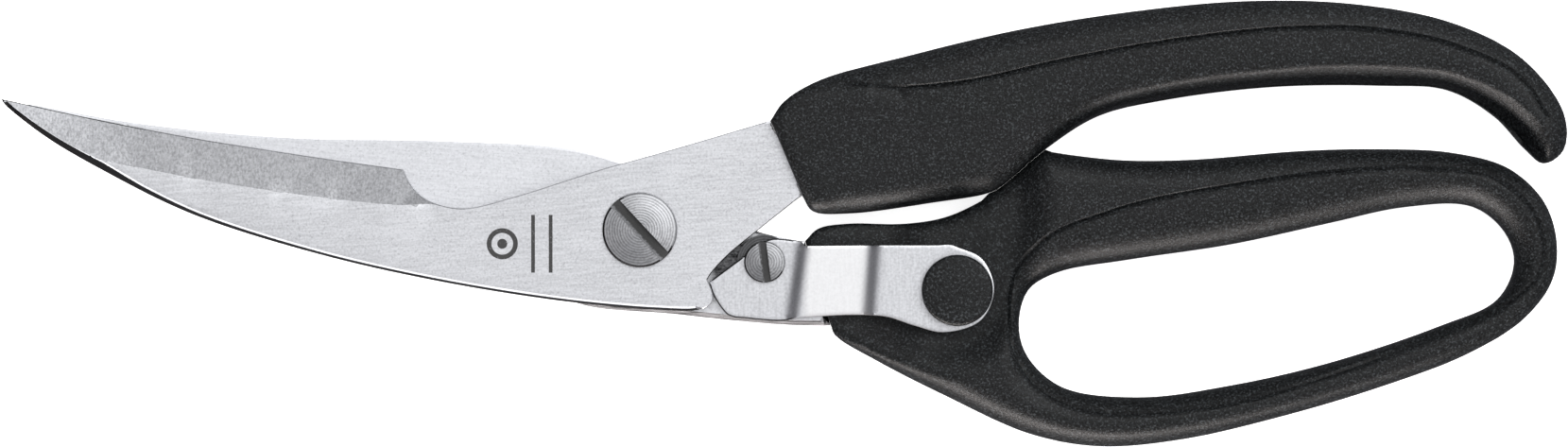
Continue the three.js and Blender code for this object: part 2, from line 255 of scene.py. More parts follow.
# ---- Curves in plan ----
def smooth_run(points, spacing, closed=False):
    """Points about spacing apart on a smooth curve through the given ones."""
    p = np.asarray(points, float)
    p = np.vstack([p[-1], p, p[:2]]) if closed else np.vstack([2 * p[0] - p[1], p, 2 * p[-1] - p[-2]])
    found = []
    for before, a, b, after in zip(p, p[1:], p[2:], p[3:]):
        spans = [max(float(np.linalg.norm(step)), 1e-6) for step in (a - before, b - a, after - b)]
        chord = spans[1]
        leave = ((a - before) / spans[0] * chord + (b - a) / chord * spans[0]) / (spans[0] + chord)
        arrive = ((b - a) / chord * spans[2] + (after - b) / spans[2] * chord) / (chord + spans[2])
        steps = max(1, round(chord / spacing))
        for t in np.arange(steps) / steps:
            found.append((2 * t**3 - 3 * t**2 + 1) * a + (t**3 - 2 * t**2 + t) * chord * leave
                         + (3 * t**2 - 2 * t**3) * b + (t**3 - t**2) * chord * arrive)
    if not closed:
        found.append(p[-2])
    return np.array(found)


def smooth_loop(loop, spacing, corner=25.0, shortest=0.04):
    """A closed outline made smooth between its corners, where it turns by more than corner degrees."""
    step = np.linalg.norm(loop - np.roll(loop, 1, axis=0), axis=1)
    loop = loop[step > shortest]
    corners = np.flatnonzero(np.abs(turns(loop)) > corner)
    if len(corners) == 0:
        return smooth_run(loop, spacing, closed=True)
    loop = np.roll(loop, -corners[0], axis=0)
    ends = [*(corners - corners[0]), len(loop)]
    loop = np.vstack([loop, loop[:1]])
    runs = [smooth_run(loop[a : b + 1], spacing)[:-1] for a, b in zip(ends, ends[1:])]
    return np.vstack(runs)


def nearest(points, line, closed=True):
    """Distance from each point to a line, the nearest segment, and the side of it that the point is on."""
    points = np.asarray(points, float)
    a = line if closed else line[:-1]
    b = np.roll(line, -1, axis=0) if closed else line[1:]
    along = b - a
    gap = np.empty(len(points))
    index = np.empty(len(points), int)
    for start in range(0, len(points), 1000):
        part = points[start : start + 1000, None]
        t = np.clip(((part - a) * along).sum(2) / (along**2).sum(1), 0, 1)
        apart = np.linalg.norm(part - (a + t[..., None] * along), axis=2)
        index[start : start + 1000] = apart.argmin(1)
        gap[start : start + 1000] = apart.min(1)
    offset = points - a[index]
    side = np.sign(along[index, 0] * offset[:, 1] - along[index, 1] * offset[:, 0])
    return gap, index, side


def clearance(points, loops):
    """Distance from each point to the nearest of several closed outlines."""
    return np.min([nearest(points, loop)[0] for loop in loops], axis=0)


def inside(points, loops):
    """Whether each point lies in the area between an outline and its holes."""
    crossings = np.zeros(len(points), int)
    x, y = points[:, :1], points[:, 1:]
    for loop in loops:
        a, b = loop, np.roll(loop, -1, axis=0)
        rise = np.where(a[:, 1] == b[:, 1], 1e-9, b[:, 1] - a[:, 1])
        spans = (a[:, 1] > y) != (b[:, 1] > y)
        crossings += (spans & (x < (b[:, 0] - a[:, 0]) * (y - a[:, 1]) / rise + a[:, 0])).sum(1)
    return crossings % 2 == 1


def sideways(line, closed):
    """The direction to the left of a line at each of its points."""
    ahead = np.roll(line, -1, axis=0) - np.roll(line, 1, axis=0) if closed else np.gradient(line, axis=0)
    ahead = ahead / np.linalg.norm(ahead, axis=1)[:, None]
    return np.column_stack([-ahead[:, 1], ahead[:, 0]])


def beside(line, offsets, closed):
    """Copies of a line moved sideways by each offset."""
    return [line + offset * sideways(line, closed) for offset in offsets]


def close_gap(outline, other, reach, left=HAIRLINE):
    """Moves the points of an outline that lie just outside another one up to it, to leave a hairline gap."""
    gap, index, _ = nearest(outline, other)
    a, b = other[index], np.roll(other, -1, axis=0)[index]
    t = np.clip(((outline - a) * (b - a)).sum(1) / ((b - a) ** 2).sum(1), 0, 1)
    towards = (a + t[:, None] * (b - a) - outline) / np.maximum(gap, 1e-6)[:, None]
    fade = 1 - smoothstep(0.6 * reach, reach, gap)
    moved = np.clip(gap - left, 0, None) * fade * ~inside(outline, [other])
    return outline + towards * moved[:, None]


def smoothstep(low, high, value):
    """A smooth rise from 0 to 1 while a value goes from low to high."""
    t = np.clip((value - low) / (high - low), 0, 1)
    return t * t * (3 - 2 * t)


# ---- Mesh building ----
def inner_points(loops, ring_gaps, grid, features=()):
    """Points inside an outline: rings that follow its edges, lines beside each feature, and a grid."""
    found = []
    for gap in ring_gaps:
        for loop in loops:
            ring = beside(loop, [gap], True)[0]
            keep = inside(ring, loops)
            ring = ring[keep]
            found.append(ring[clearance(ring, loops) > 0.96 * gap])
    for line in features:
        keep = inside(line, loops)
        found.append(line[keep][clearance(line[keep], loops) > 0.09])
    low, high = loops[0].min(0), loops[0].max(0)
    rows = np.arange(low[1], high[1], grid * 0.866)
    columns = np.arange(low[0], high[0], grid)
    dots = np.array([(x + (row % 2) * grid / 2, y) for row, y in enumerate(rows) for x in columns])
    dots = dots[inside(dots, loops)]
    dots = dots[clearance(dots, loops) > max(ring_gaps) + 0.4 * grid]
    if features:
        dots = dots[np.min([nearest(dots, line, False)[0] for line in features], axis=0) > 0.35]
    found.append(dots)
    return np.vstack([f for f in found if len(f)])


def new_piece(name, vertices, faces, sharp=30.0):
    """An object with a clean mesh, smooth except where it turns by more than sharp degrees."""
    mesh = bpy.data.meshes.new(name)
    mesh.from_pydata([tuple(c * MM for c in v) for v in vertices], [], faces)
    mesh.validate()
    mesh.shade_smooth()
    mesh.set_sharp_from_angle(angle=math.radians(sharp))
    piece = bpy.data.objects.new(name, mesh)
    bpy.context.scene.collection.objects.link(piece)
    return piece


def fill_plan(loops, inner):
    """Triangles over a plan outline with holes: their points, their corners, and the outline's edges."""
    points = np.vstack([*loops, inner])
    starts = np.cumsum([0] + [len(loop) for loop in loops])
    edges = [(s + k, s + (k + 1) % len(loop)) for s, loop in zip(starts, loops) for k in range(len(loop))]
    given = [Vector(p) for p in points]
    flat, _, triangles, sources, _, _ = delaunay_2d_cdt(given, edges, [], 0, 1e-5)
    flat = np.array([tuple(v) for v in flat])
    made = {old: new for new, olds in enumerate(sources) for old in olds}
    corners = np.array([t for t in triangles if len(t) == 3])
    corners = corners[inside(flat[corners].mean(1), loops)]
    a, b, c = (flat[corners[:, k]] for k in range(3))
    turn = (b[:, 0] - a[:, 0]) * (c[:, 1] - a[:, 1]) - (b[:, 1] - a[:, 1]) * (c[:, 0] - a[:, 0])
    corners[turn < 0] = corners[turn < 0][:, ::-1]
    used = np.unique(corners)
    renumber = {int(old): new for new, old in enumerate(used)}
    corners = [[renumber[int(i)] for i in t] for t in corners]
    border = [(renumber[made[start]], renumber[made[end]]) for start, end in edges]
    return flat[used], corners, [(i, j) for i, j in border if i != j]


def slab(name, loops, inner, top, bottom, sharp=30.0, thinnest=0.02):
    """A closed solid over a plan outline with holes, between two height functions."""
    loops = [loop if (loop_area(loop) > 0) == (i == 0) else loop[::-1] for i, loop in enumerate(loops)]
    flat, corners, border = fill_plan(loops, inner)
    count = len(flat)
    upper = top(flat)
    lower = np.minimum(bottom(flat), upper - thinnest)
    vertices = np.vstack([np.column_stack([flat, upper]), np.column_stack([flat, lower])])
    faces = [tuple(t) for t in corners]
    faces += [tuple(i + count for i in reversed(t)) for t in corners]
    faces += [(i + count, j + count, j, i) for i, j in border]
    return new_piece(name, vertices, faces, sharp)


def lathe(name, profile, x, y, sides=96, sharp=30.0):
    """A solid of revolution about an upright axis; its profile runs from the axis, up, and back to it."""
    vertices, faces = [], []
    for radius, height in profile:
        for side in range(sides):
            angle = 2 * math.pi * side / sides
            vertices.append((x + radius * math.cos(angle), y + radius * math.sin(angle), height))
    for row in range(len(profile) - 1):
        for side in range(sides):
            a, b = row * sides + side, row * sides + (side + 1) % sides
            faces.append((a, b, b + sides, a + sides))
    faces.append(tuple(reversed(range(sides))))
    faces.append(tuple(range((len(profile) - 1) * sides, len(profile) * sides)))
    return new_piece(name, vertices, faces, sharp)


def box_solid(name, size, centre, angle=0.0):
    """A plain block used only to cut with."""
    turn = math.radians(angle)
    vertices = []
    for sx, sy, sz in [(i & 1, i >> 1 & 1, i >> 2) for i in range(8)]:
        dx, dy = (sx - 0.5) * size[0], (sy - 0.5) * size[1]
        x = centre[0] + dx * math.cos(turn) - dy * math.sin(turn)
        y = centre[1] + dx * math.sin(turn) + dy * math.cos(turn)
        vertices.append((x, y, centre[2] + (sz - 0.5) * size[2]))
    faces = [(0, 2, 3, 1), (4, 5, 7, 6), (0, 1, 5, 4), (2, 6, 7, 3), (0, 4, 6, 2), (1, 3, 7, 5)]
    return new_piece(name, vertices, faces)


def cut(piece, tool, sharp=30.0):
    """Takes tool away from piece for good, and deletes tool."""
    modifier = piece.modifiers.new("cut", "BOOLEAN")
    modifier.operation = "DIFFERENCE"
    modifier.solver = "EXACT"
    modifier.object = tool
    evaluated = piece.evaluated_get(bpy.context.evaluated_depsgraph_get())
    mesh = bpy.data.meshes.new_from_object(evaluated)
    piece.modifiers.clear()
    piece.data = mesh
    mesh.shade_smooth()
    mesh.set_sharp_from_angle(angle=math.radians(sharp))
    bpy.data.objects.remove(tool)


# ---- Materials ----
class Skin:
    """A procedural material: every method adds a node and gives its output."""

    def __init__(self, name):
        self.material = bpy.data.materials.new(name)
        self.material.use_nodes = True
        self.tree = self.material.node_tree
        self.shader = self.tree.nodes["Principled BSDF"]
        self.place = self.node("ShaderNodeTexCoord").outputs["Object"]

    def node(self, kind, inputs=None, **settings):
        made = self.tree.nodes.new(kind)
        for key, value in settings.items():
            setattr(made, key, value)
        for key, value in (inputs or {}).items():
            self.feed(made.inputs[key], value)
        return made

    def feed(self, socket, value):
        if isinstance(value, bpy.types.NodeSocket):
            self.tree.links.new(value, socket)
        else:
            socket.default_value = value

    def math(self, operation, a, b=0.0):
        return self.node("ShaderNodeMath", {0: a, 1: b}, operation=operation).outputs[0]

    def blend(self, a, b, share):
        """A weighted sum of two values, in which b has the given share."""
        return self.math("ADD", self.math("MULTIPLY", a, 1 - share), self.math("MULTIPLY", b, share))

    def noise(self, size, detail=2.0, stretch=(1, 1, 1), angle=0.0):
        """Noise whose features are about size millimetres across, drawn out along the stretched axes."""
        scale = tuple(1 / (size * MM * s) for s in stretch)
        rotation = (0, 0, math.radians(-angle))
        turned = self.node("ShaderNodeMapping", {"Vector": self.place, "Rotation": rotation}).outputs[0]
        mapped = self.node("ShaderNodeVectorMath", {0: turned, 1: scale}, operation="MULTIPLY").outputs[0]
        return self.node("ShaderNodeTexNoise", {"Vector": mapped, "Scale": 1.0, "Detail": detail}).outputs[0]

    def span(self, value, low, high, to_low=0.0, to_high=1.0):
        """Maps low to to_low and high to to_high, and goes no further than either."""
        inputs = {"Value": value, "From Min": low, "From Max": high, "To Min": to_low, "To Max": to_high}
        return self.node("ShaderNodeMapRange", inputs).outputs[0]

    def mix(self, factor, a, b):
        """Colour a where factor is 0 and colour b where it is 1."""
        return self.node("ShaderNodeMix", {0: factor, 6: a, 7: b}, data_type="RGBA").outputs[2]

    def offset_length(self, x, y):
        """Distance in millimetres from an upright axis."""
        centre = (x * MM, y * MM, 0)
        flat = self.node("ShaderNodeVectorMath", {0: self.place, 1: (1, 1, 0)}, operation="MULTIPLY")
        away = self.node("ShaderNodeVectorMath", {0: flat.outputs[0], 1: centre}, operation="DISTANCE")
        return self.math("DIVIDE", away.outputs["Value"], MM)

    def along(self, axis):
        """Place in millimetres on one axis."""
        parts = self.node("ShaderNodeSeparateXYZ", {0: self.place})
        return self.math("DIVIDE", parts.outputs[axis], MM)

    def bump(self, height, depth, before=None):
        inputs = {"Height": height, "Distance": depth * MM, "Strength": 1.0}
        if before is not None:
            inputs["Normal"] = before
        return self.node("ShaderNodeBump", inputs).outputs[0]

    def set(self, **inputs):
        """Feeds the shader, and gives the finished material."""
        for key, value in inputs.items():
            self.feed(self.shader.inputs[key.replace("_", " ")], value)
        return self.material


def grey(level, tint=0.055):
    """A linear grey, a touch cold."""
    return (level, level * (1 + tint / 4), level * (1 + tint), 1)


def mottle(skin, tone, level, spread):
    """A grey from just below its level to just above it, as tone goes from 0 to 1."""
    return skin.mix(tone, grey(level * (1 - spread)), grey(level * (1 + spread)))


def satin_steel(name, level, roughness=0.36, streak=(14, 1, 1), angle=0.0, speckle=0.16, brushed=0.4,
                tip=0.0, mark=False, shade_spot=None):
    """Ground stainless steel: mottled grain, grinding streaks, dark specks and cloudy patches. brushed is
    the share of streaks, tip a brighter level at the blade's point, and the last one a place [x, y, radius]
    that is painted dark as shade."""
    skin = Skin(name)
    grain = skin.noise(0.36, 3)
    fine = skin.noise(0.2, 2)
    streaks = skin.noise(0.3, 2, streak, angle)
    clouds = skin.noise(14, 3)
    tone = skin.blend(grain, streaks, brushed)
    tone = skin.math("ADD", tone, skin.math("MULTIPLY", skin.math("SUBTRACT", clouds, 0.5), 0.2))
    tone = skin.span(tone, 0.36, 0.62)
    color = mottle(skin, tone, level, speckle)
    if tip:
        near_point = skin.span(skin.along("X"), -78, -93)
        color = skin.mix(near_point, color, mottle(skin, tone, tip, speckle))
    specks = skin.span(skin.noise(0.4, 1), 0.62, 0.7)
    color = skin.mix(skin.math("MULTIPLY", specks, 0.35), color, grey(level * 0.45))
    # Painted shade: colour darkened round a given place and above a given height, standing in for the shade
    # in a recess.
    if shade_spot:
        x, y, radius = shade_spot
        recess_shade = skin.span(skin.offset_length(x, y), radius * 1.15, radius * 0.8)
        recess_shade = skin.math("MULTIPLY", recess_shade, skin.math("GREATER_THAN", skin.along("Z"), SHADED_RECESS_FLOOR))
        color = skin.mix(recess_shade, color, skin.mix(tone, grey(level * 0.01), grey(level * 0.22)))
    rough = skin.span(tone, 0, 1, roughness + 0.06, roughness - 0.04)
    metal = 1.0
    if mark:
        etched = maker_mark(skin)
        color = skin.mix(etched, color, grey(0.012))
        metal = skin.math("SUBTRACT", 1.0, etched)
        rough = skin.math("ADD", rough, skin.math("MULTIPLY", etched, 0.25))
    normal = skin.bump(fine, 0.005)
    normal = skin.bump(streaks, 0.007, normal)
    return skin.set(Base_Color=color, Metallic=metal, Roughness=rough, Normal=normal)


def maker_mark(skin):
    """A plain etched device beside the pivot: a ring with a dot, and two straight rules."""
    away = skin.offset_length(*MARK_AT)
    ring = skin.math("LESS_THAN", skin.math("ABSOLUTE", skin.math("SUBTRACT", away, 2.1)), 0.38)
    dot = skin.math("LESS_THAN", away, 0.8)
    shape = skin.math("MAXIMUM", ring, dot)
    height = skin.math("ABSOLUTE", skin.math("SUBTRACT", skin.along("Y"), MARK_AT[1]))
    within = skin.math("LESS_THAN", height, 4.6)
    for x in RULES_AT:
        rule = skin.math("LESS_THAN", skin.math("ABSOLUTE", skin.math("SUBTRACT", skin.along("X"), x)), 0.3)
        shape = skin.math("MAXIMUM", shape, skin.math("MULTIPLY", rule, within))
    worn = skin.span(skin.noise(0.35, 2), 0.25, 0.4, 0.8, 1.0)
    return skin.math("MULTIPLY", shape, worn)


def turned_steel(name, level, x, y, roughness=0.34, pitch=0.42):
    """Steel faced on a lathe: fine rings about its axis, with scuffs across them."""
    skin = Skin(name)
    away = skin.offset_length(x, y)
    wander = skin.math("MULTIPLY", skin.noise(2.5, 2), 2.2)
    rings = skin.math("SINE", skin.math("ADD", skin.math("MULTIPLY", away, 2 * math.pi / pitch), wander))
    rings = skin.span(rings, -1, 1)
    grain = skin.noise(0.4, 3)
    scuffs = skin.span(skin.noise(0.35, 2, (9, 1, 1), 35), 0.6, 0.7)
    tone = skin.blend(rings, grain, 0.68)
    color = skin.mix(skin.span(tone, 0.3, 0.7), grey(level * 0.68), grey(level * 1.25))
    color = skin.mix(skin.math("MULTIPLY", scuffs, 0.4), color, grey(level * 0.5))
    rough = skin.span(grain, 0.3, 0.7, roughness - 0.05, roughness + 0.1)
    tangent = skin.node("ShaderNodeTangent", direction_type="RADIAL", axis="Z").outputs[0]
    normal = skin.bump(grain, 0.006, skin.bump(rings, 0.008))
    return skin.set(Base_Color=color, Metallic=1.0, Roughness=rough, Anisotropic=0.55, Tangent=tangent,
                    Normal=normal)


def shadowed_slot_steel(name, x, y, angle):
    """The inside of a driver slot: painted shadow along one wall and worn bare along the other."""
    skin = Skin(name)
    turn = math.radians(angle)
    across = Vector((-math.sin(turn), math.cos(turn), 0))
    if across.x + across.y < 0:
        across.negate()
    apart = skin.node("ShaderNodeVectorMath", {0: skin.place, 1: across}, operation="DOT_PRODUCT")
    apart = skin.math("DIVIDE", apart.outputs["Value"], MM)
    apart = skin.math("SUBTRACT", apart, across.dot((x, y, 0)))
    grain = skin.noise(0.35, 3)
    # Painted shadow: away from the bare wall the slot is an almost black non-metal, standing in for the
    # shadow of the other wall.
    bare = skin.span(skin.math("SUBTRACT", skin.math("MULTIPLY", grain, 0.5), apart), 0.6, 0.9)
    color = skin.mix(bare, grey(0.006), skin.mix(grain, grey(0.05), grey(0.26)))
    return skin.set(Base_Color=color, Metallic=bare, Roughness=0.5, Normal=skin.bump(grain, 0.03))


def lever_steel():
    """Pressed plate: satin at both ends, with a painted highlight that makes the middle step brighter."""
    skin = Skin("lever_satin_and_highlight")
    across = skin.along("X")
    middle = skin.math("MULTIPLY", *(skin.span(across, *fade) for fade in LEVER_MIDDLE))
    grain = skin.noise(0.42, 3)
    streaks = skin.noise(0.3, 2, (1, 12, 1))
    tone = skin.span(skin.blend(grain, streaks, 0.35), 0.36, 0.62)
    satin = skin.mix(tone, grey(0.34), grey(0.47))
    # Painted highlight: the middle step gets a lighter copy of the steel, for the light it catches.
    bright = skin.mix(tone, grey(0.50, 0.02), grey(0.57, 0.02))
    color = skin.mix(middle, satin, bright)
    normal = skin.bump(grain, 0.006)
    rough = skin.span(tone, 0, 1, 0.42, 0.32)
    return skin.set(Base_Color=color, Metallic=1.0, Roughness=rough, Normal=normal)


def moulded_plastic(name, level, roughness, rough_grain=0.05):
    """Black moulded plastic: a fine eroded texture with pale specks, a little dust and a few scuffs."""
    skin = Skin(name)
    grain = skin.noise(0.36, 3)
    fine = skin.noise(0.24, 2)
    specks = skin.span(skin.noise(0.34, 2), 0.54, 0.68)
    clouds = skin.span(skin.noise(18, 2), 0.35, 0.65)
    color = skin.mix(skin.span(grain, 0.4, 0.6), plastic_grey(level * 0.1), plastic_grey(level * 1.6))
    color = skin.mix(skin.math("MULTIPLY", clouds, 0.2), color, plastic_grey(level * 1.3))
    color = skin.mix(skin.math("MULTIPLY", specks, 0.7), color, plastic_grey(level * 9))
    hair = skin.span(skin.noise(0.2, 1, (26, 1, 1), 48), 0.64, 0.7)
    rubbed = skin.span(skin.offset_length(63, 8), 11, 3)
    color = skin.mix(skin.math("MULTIPLY", skin.math("MULTIPLY", hair, rubbed), 0.5), color, grey(level * 7))
    rough = skin.span(fine, 0.3, 0.7, roughness - 0.08, roughness + 0.12)
    normal = skin.bump(fine, 0.04, skin.bump(grain, rough_grain))
    return skin.set(Base_Color=color, Metallic=0.0, Roughness=rough, Specular_IOR_Level=0.135, Normal=normal)


def plastic_grey(level):
    """A linear grey, colder than the steel's."""
    return (level, level * 1.12, level * 1.2, 1)


def paint(piece, materials, choose=None):
    """Gives a piece its materials; choose picks one for each face from its centre (mm) and its normal."""
    piece.data.materials.clear()
    for material in materials:
        piece.data.materials.append(material)
    if choose is not None:
        for face in piece.data.polygons:
            face.material_index = int(choose(face.center / MM, face.normal))


def place(piece, node, body, slot_name):
    """Lets a piece stand for a CAD node and move with its body; slot_name is not used."""
    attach(piece, body)
    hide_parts(node)


# ---- Blades ----
def flat_side(node, facing):
    """Closed outlines of the flat part of a blade's upper (1) or lower (-1) side."""
    level = heights(node)[facing > 0]
    return rim(node, facing, level - SAME_LEVEL, level + SAME_LEVEL)


def pocket_lines(node, facing, outline):
    """Lines just inside and outside each hole and pocket in a blade's mating side, to keep it crisp."""
    lines = []
    for loop in flat_side(node, facing):
        dense = smooth_loop(loop, 1.0)
        dense = dense[nearest(dense, outline)[0] > 0.3]
        if len(dense) > 2:
            lines += beside(dense, [-0.05, 0.05], True)
    return lines


def step_lines(node, facing, outline):
    """Lines just inside and outside the edge of a blade's flat outer side, where a bevel or step begins."""
    lines = []
    for loop in flat_side(node, facing):
        for line in beside(smooth_loop(loop, 0.7), [-0.05, 0.05], True):
            lines.append(line[nearest(line, outline)[0] > 0.15])
    return [line for line in lines if len(line) > 2]


def inward(outline, keep, widths):
    """The kept part of an outline, moved inwards by a width at each point."""
    return (outline + widths[:, None] * sideways(outline, True))[keep]


def front_blade():
    low = heights("front_blade")[0]
    loops = [smooth_loop(loop, 0.5) for loop in rim("front_blade", 1) if abs(loop_area(loop)) > 20]
    loops[0] = outline = close_gap(loops[0], section("upper_handle", OUTLINE_HEIGHT)[0], GAP_REACH)
    ahead = np.roll(outline, -1, axis=0) - outline
    faces_down = -ahead[:, 0] / np.linalg.norm(ahead, axis=1) < -0.3
    x, y = outline.T
    spine = faces_down & (x < SPINE_END)
    heel_edge = faces_down & (x > HEEL_START) & (y > HEEL_LOW)
    side_width = np.interp(x, *zip(*SPINE_WIDTHS))
    chamfer_width = LEAST_CHAMFER + SPINE_CHAMFER * smoothstep(*CHAMFER_START, x)
    cad_top = surface("front_blade", 1)
    features = step_lines("front_blade", 1, outline) + pocket_lines("front_blade", -1, outline)
    features += [inward(outline, spine, side_width + extra) for extra in (0, chamfer_width)]
    inner = inner_points(loops, [EDGE_BREAK, 1.8], 3.5, features)

    def top(points):
        height = cad_top(points)
        gap, index, _ = nearest(points, outline)
        width = side_width[index]
        shoulder = height - SPINE_FALL * np.clip((width - gap) / chamfer_width[index] + 1, 0, 1)
        side = np.clip(1 - gap / width, 0, 1)
        spined = shoulder + side * (np.minimum(low + SPINE_EDGE, shoulder) - shoulder)
        plain = height - np.clip(EDGE_BREAK - gap, 0, EDGE_BREAK)
        return np.maximum(np.where(spine[index], spined, plain), low + LEAST_THICKNESS)

    piece = slab("front_blade_ground", loops, inner, top, surface("front_blade", -1), 14)
    flat = satin_steel("front_blade_satin", 0.42, angle=4, mark=True)
    ground = satin_steel("front_bevel_ground", 0.235, roughness=0.40, streak=(1, 9, 1), angle=-4,
                         speckle=0.24, brushed=0.6, tip=0.325)
    # Painted shade: an almost black copy of the steel on the sloping spine side and on the broken edges at
    # the point and the heel.
    side = satin_steel("front_spine_painted_shade", 0.012, roughness=0.5, streak=(20, 1, 1), speckle=0.3)
    # Painted highlight: a bright copy of the steel on the chamfer beside the spine.
    chamfer = satin_steel("front_spine_chamfer_highlight", 0.75, roughness=0.5, streak=(20, 1, 1), speckle=0.02)

    def choose(centre, normal):
        gap, index, _ = nearest([centre.to_2d()], outline)
        gap, index = gap[0], index[0]
        if spine[index] and gap < side_width[index] and normal.z > -0.5:
            return 2
        if spine[index] and gap < side_width[index] + chamfer_width[index] and normal.z > 0:
            return 3
        if gap < EDGE_BREAK and (centre.x < TIP_END or heel_edge[index]):
            return 2
        return 1 if STEEP < normal.z < FLAT and centre.x < FRONT_BEVEL_END else 0

    paint(piece, [flat, ground, side, chamfer], choose)
    place(piece, "front_blade", "upper_half", "front_blade_steel")


def rear_blade():
    loops = [smooth_loop(loop, 0.8) for loop in rim("rear_blade", 1) if abs(loop_area(loop)) > 5]
    loops[0] = outline = close_gap(loops[0], section("lower_handle", OUTLINE_HEIGHT)[0], GAP_REACH)
    features = step_lines("rear_blade", -1, outline) + pocket_lines("rear_blade", 1, outline)
    inner = inner_points(loops, [EDGE_BREAK, REAR_BREAK, HEEL_SIDE, 2 * HEEL_SIDE], 3.5, features)
    cad_top, cad_bottom = surface("rear_blade", 1), surface("rear_blade", -1)
    x, y = outline.T
    below_heel = (y < HEEL_LOW) & (x > UNDER_HEEL[0]) & (x < UNDER_HEEL[1])

    def top(points):
        gap, index, _ = nearest(points, outline)
        edge = np.where(below_heel[index], HEEL_SIDE, REAR_BREAK)
        fall = np.where(below_heel[index], HEEL_FALL / HEEL_SIDE, REAR_SLOPE)
        return cad_top(points) - np.clip(edge - gap, 0, edge) * fall

    def bottom(points):
        gap = nearest(points, outline)[0]
        return cad_bottom(points) + np.clip(REAR_BREAK - gap, 0, REAR_BREAK) * REAR_SLOPE

    piece = slab("rear_blade_ground", loops, inner, top, bottom, 14)
    # The flat steel carries painted shade in the corner between the heel and the catch.
    flat = satin_steel("rear_blade_satin", 0.485, angle=-4, speckle=0.1, shade_spot=SHADED_RECESS)
    ground = satin_steel("rear_bevel_ground", 0.3, roughness=0.4, streak=(1, 22, 1), angle=4, speckle=0.2)
    # Painted shade: a dark copy of the steel on the upright sides and on the rounded-off back that shows
    # under the heel.
    side = satin_steel("rear_blade_side_painted_shade", 0.05, roughness=0.4, streak=(24, 1, 1), speckle=0.7, brushed=0.9)

    def choose(centre, normal):
        gap, index, _ = nearest([centre.to_2d()], outline)
        if abs(normal.z) < STEEP or below_heel[index[0]] and gap[0] < HEEL_SIDE and normal.z > 0:
            return 2
        return 1 if -FLAT < normal.z < -STEEP and centre.x < REAR_BEVEL_END else 0

    paint(piece, [flat, ground, side], choose)
    place(piece, "rear_blade", "lower_half", "rear_blade_steel")


# ---- Handles ----
def handle_outlines(node):
    """Smooth closed outlines of a handle in plan; the largest comes first."""
    return [smooth_loop(loop, 0.8, 30) for loop in section(node, heights(node)[0] + OUTLINE_HEIGHT)]


def rounding(gap, width, drop):
    """How far a rounded edge has fallen at a distance from the edge: an ellipse's quarter."""
    t = np.clip(1 - gap / width, 0, 1)
    return drop * (1 - np.sqrt(np.clip(1 - t * t, 0, 1)))


def groove(points, line, closed=False):
    """Depth of a moulded V groove along a line."""
    gap = nearest(points, line, closed)[0]
    return GROOVE_DEPTH * np.clip(1 - gap / GROOVE_WIDTH, 0, 1)


def scoop(points):
    """Depth of the shallow lens-shaped scoop in which the hook handle's groove begins."""
    gap = nearest(points, np.array(SCOOP), False)[0]
    return SCOOP_DEPTH * np.clip(1 - gap / SCOOP_WIDTH, 0, 1)


def ring_gaps(width):
    """Distances that spread evenly round the curve of a rounded edge."""
    return [width * (1 - math.cos(math.radians(a))) for a in (14, 28, 41, 54, 66, 78, 90)]


def tang_room(node, facing):
    """A block the shape of a whole blade and a little larger, to cut the room for its tang."""
    low, high = heights(node)
    loop = rim(node, facing)[0]
    loop = loop if loop_area(loop) > 0 else loop[::-1]
    grown = beside(loop, [-TANG_CLEARANCE], True)[0]
    count = len(grown)
    vertices = [(*p, height) for height in (low - TANG_HEADROOM, high + TANG_HEADROOM) for p in grown]
    faces = [tuple(reversed(range(count))), tuple(range(count, 2 * count))]
    faces += [(i, (i + 1) % count, (i + 1) % count + count, i + count) for i in range(count)]
    return new_piece("tang_room", vertices, faces)


def upper_handle(plastic):
    low, high = heights("upper_handle")
    middle = (low + high) / 2
    outline = handle_outlines("upper_handle")[0]
    hook_groove = smooth_run(HOOK_GROOVE, 0.4)
    crease = smooth_run(HOOK_CREASE, 0.5)
    features = beside(hook_groove, GROOVE_LINES, False)
    features += beside(crease, [-0.5, 0, 0.5], False)
    features += beside(smooth_run(SCOOP, 0.5), [-SCOOP_WIDTH, -0.7, 0, 0.7, SCOOP_WIDTH], False)
    inner = inner_points([outline], ring_gaps(HANDLE_ROUND), 1.5, features)

    def edge(points):
        """Width and drop of the rounded edge: small at the blade, full along the grip."""
        grip = smoothstep(*UPPER_GRIP, points[:, 0])
        full = high - middle - HANDLE_WALL
        return FRONT_ROUND + grip * (HANDLE_ROUND - FRONT_ROUND), FRONT_ROUND + grip * (full - FRONT_ROUND)

    def top(points):
        gap = nearest(points, outline)[0]
        off_crease, _, side = nearest(points, crease, False)
        slope = CREASE_SLOPE * np.where(side < 0, off_crease, 0) * smoothstep(*CREASE_START, points[:, 0])
        width, drop = edge(points)
        fallen = np.minimum(rounding(gap, width, drop) + slope, drop)
        return high - fallen - np.maximum(groove(points, hook_groove), scoop(points))

    def bottom(points):
        return low + rounding(nearest(points, outline)[0], *edge(points))

    piece = slab("hook_handle_moulding", [outline], inner, top, bottom, 40)
    cut(piece, tang_room("front_blade", 1), 40)
    paint(piece, [plastic])
    place(piece, "upper_handle", "upper_half", "handle_plastic")


